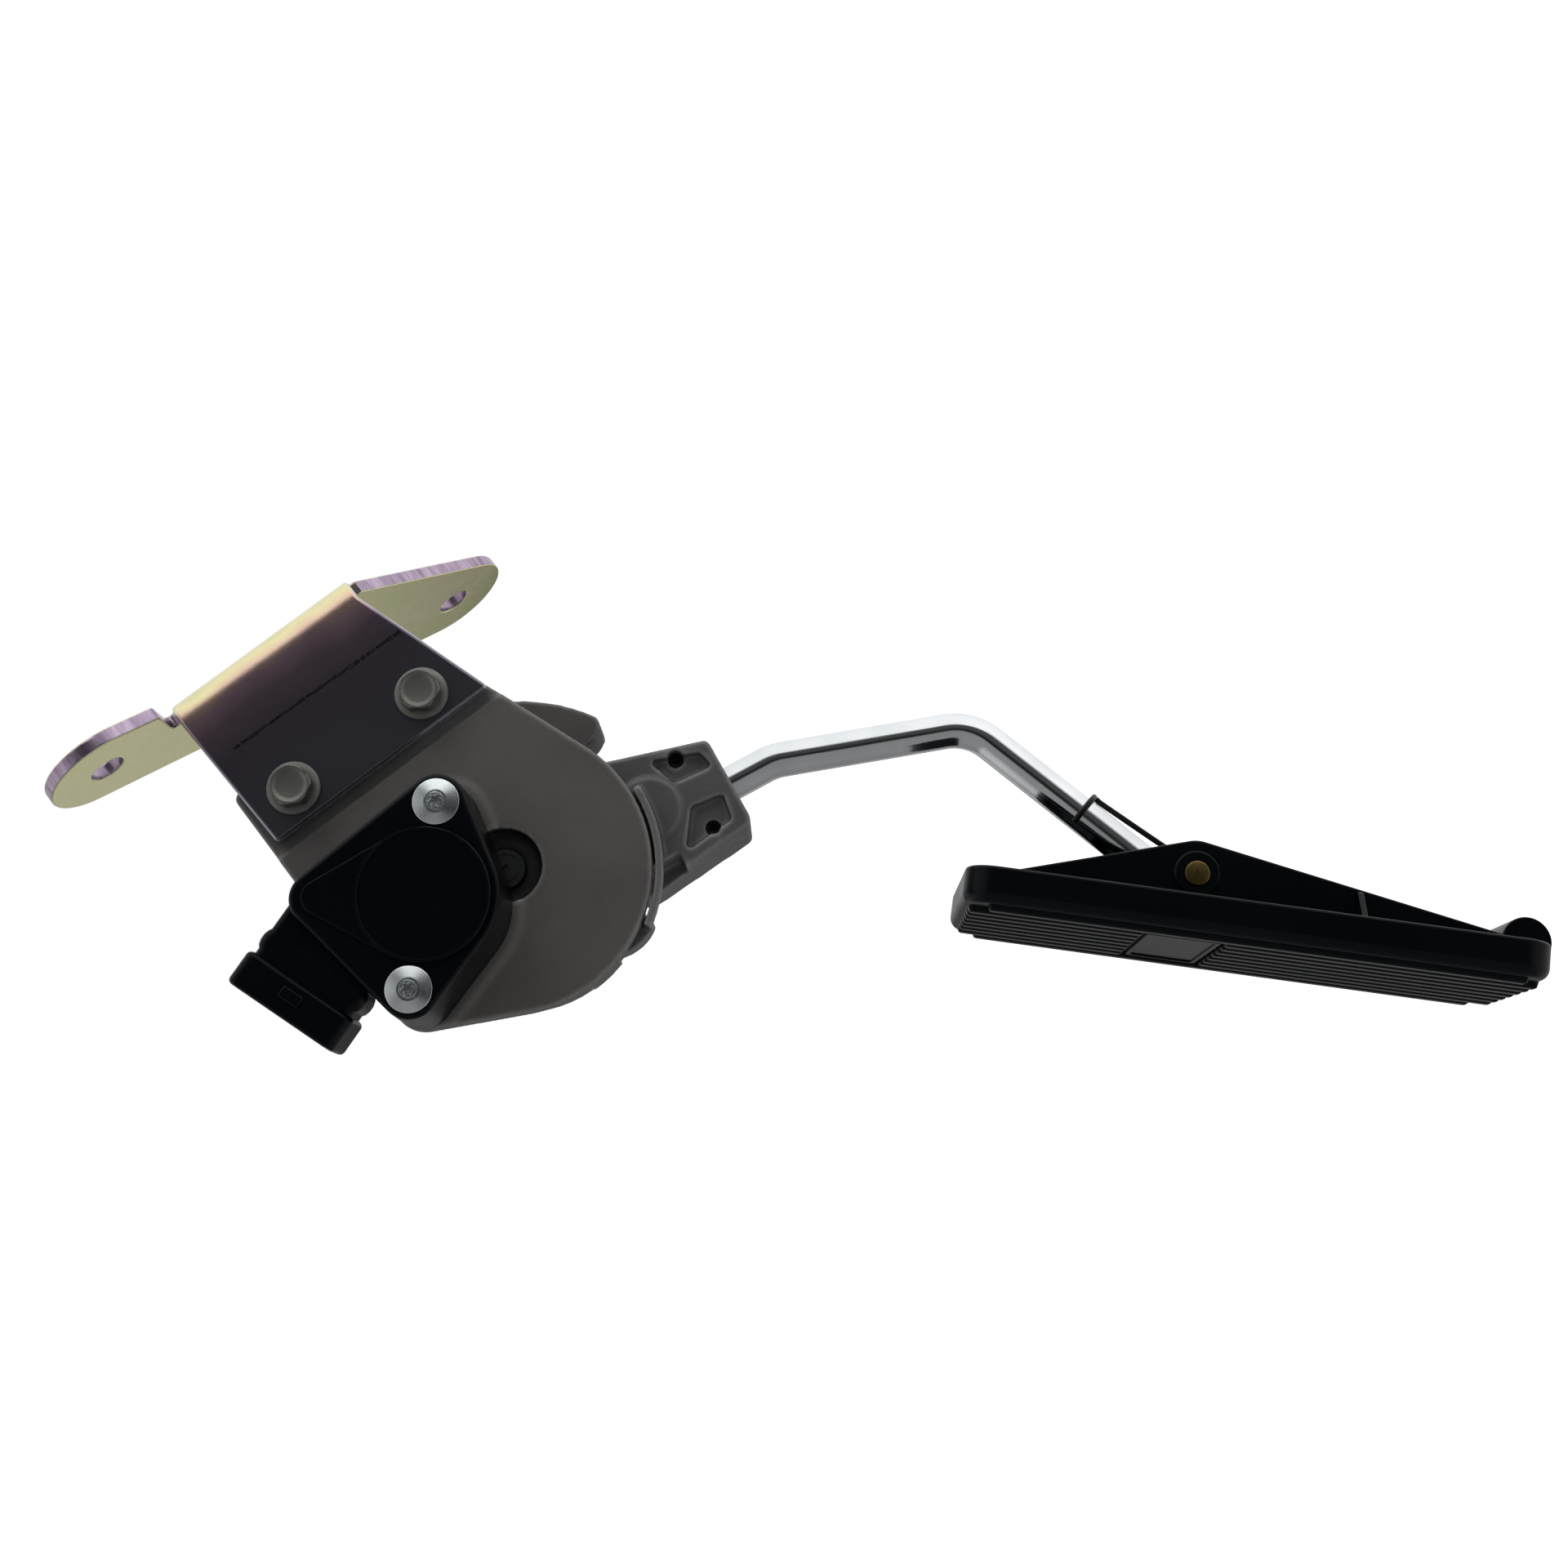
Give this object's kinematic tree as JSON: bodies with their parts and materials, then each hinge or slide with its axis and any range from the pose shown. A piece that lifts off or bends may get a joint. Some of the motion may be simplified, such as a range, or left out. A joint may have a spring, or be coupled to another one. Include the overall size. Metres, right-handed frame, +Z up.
{
  "type": "accelerator pedal",
  "caption": "suspended electronic throttle pedal: wall bracket, cast pivot housing with position sensor, bent rod and hinged ribbed pad",
  "frame": {"origin": "midway between the two mounting holes, on the outer face of the bracket's flange", "axes": "+Y out of the flange towards the wall it is bolted to, +Z up, +X towards the position sensor's side"},
  "size_m": [0.0965, 0.274, 0.2825],
  "materials": {
    "passivated_steel": "yellow passivated zinc, smooth, faint iridescence",
    "dull_zinc": "dull grey plating",
    "cast_alloy": "blasted die casting, matt",
    "lever_alloy": "die casting, satin",
    "bright_zinc": "bright plating, turned",
    "shaft_steel": "ground",
    "bronze": "sintered, oiled",
    "nylon": "natural, moulded",
    "spring_steel": "oil tempered wire",
    "black_steel": "black oxide",
    "zinc_rod": "bright plating, drawn along the rod",
    "pad_plastic": "moulded, satin",
    "brass": "turned, slightly dulled",
    "sensor_plastic": "moulded, fine grain",
    "board": "lacquered board",
    "seal_rubber": "matt",
    "tinned_brass": "tinned"
  },
  "bodies": {
    "frame": {"mounting_bracket": "passivated_steel", "bracket_bolt_1": "dull_zinc", "bracket_bolt_2": "dull_zinc", "pedal_housing": "cast_alloy", "housing_cover": "cast_alloy", "cover_screw_1": "bright_zinc", "cover_screw_2": "bright_zinc", "cover_screw_3": "bright_zinc", "cover_screw_4": "bright_zinc", "pivot_shaft": "shaft_steel", "thrust_washer_near": "nylon", "thrust_washer_far": "nylon", "return_spring_outer": "spring_steel", "return_spring_inner": "spring_steel", "sensor_body": "sensor_plastic", "sensor_lid": "sensor_plastic", "sensor_board": "board", "sensor_seal": "seal_rubber", "sensor_sleeve_1": "brass", "sensor_sleeve_2": "brass", "sensor_screw_1": "bright_zinc", "sensor_screw_2": "bright_zinc", "terminal_1": "tinned_brass", "terminal_2": "tinned_brass", "terminal_3": "tinned_brass", "terminal_4": "tinned_brass", "terminal_5": "tinned_brass", "terminal_6": "tinned_brass"},
    "arm": {"lever": "lever_alloy", "hub_bush_near": "bronze", "hub_bush_far": "bronze", "clamp_screw_1": "black_steel", "clamp_screw_2": "black_steel", "pedal_rod": "zinc_rod", "rod_sleeve": "shaft_steel", "pad_spring": "black_steel"},
    "foot_pad": {"pad": "pad_plastic", "pad_pin": "brass", "pin_clip": "black_steel"},
    "rotor": {"sensor_rotor": "nylon"}
  },
  "joints": [
    {"name": "pedal_swing", "type": "hinge", "parent": "frame", "child": "arm", "pos_m": [0, -0.0885, -0.0154], "axis": [1, 0, 0], "range_deg": [0, 18], "stiffness_Nm_per_rad": 11.5, "springref_deg": -17.76, "deforming": ["return_spring_outer", "return_spring_inner"]},
    {"name": "pad_tilt", "type": "hinge", "parent": "arm", "child": "foot_pad", "pos_m": [0.008, -0.19839, -0.15465], "axis": [-1, 0, 0], "range_deg": [0, 20], "stiffness_Nm_per_rad": 0.3, "springref_deg": -45.84, "deforming": ["pad_spring"]},
    {"name": "rotor_turn", "type": "hinge", "parent": "frame", "child": "rotor", "pos_m": [0.03, -0.08629, 0.00428], "axis": [1, 0, 0], "range_deg": [-61.5, 0]}
  ],
  "couplings": [
    {"joint": "rotor_turn", "follows": "pedal_swing", "ratio": -3.4}
  ]
}
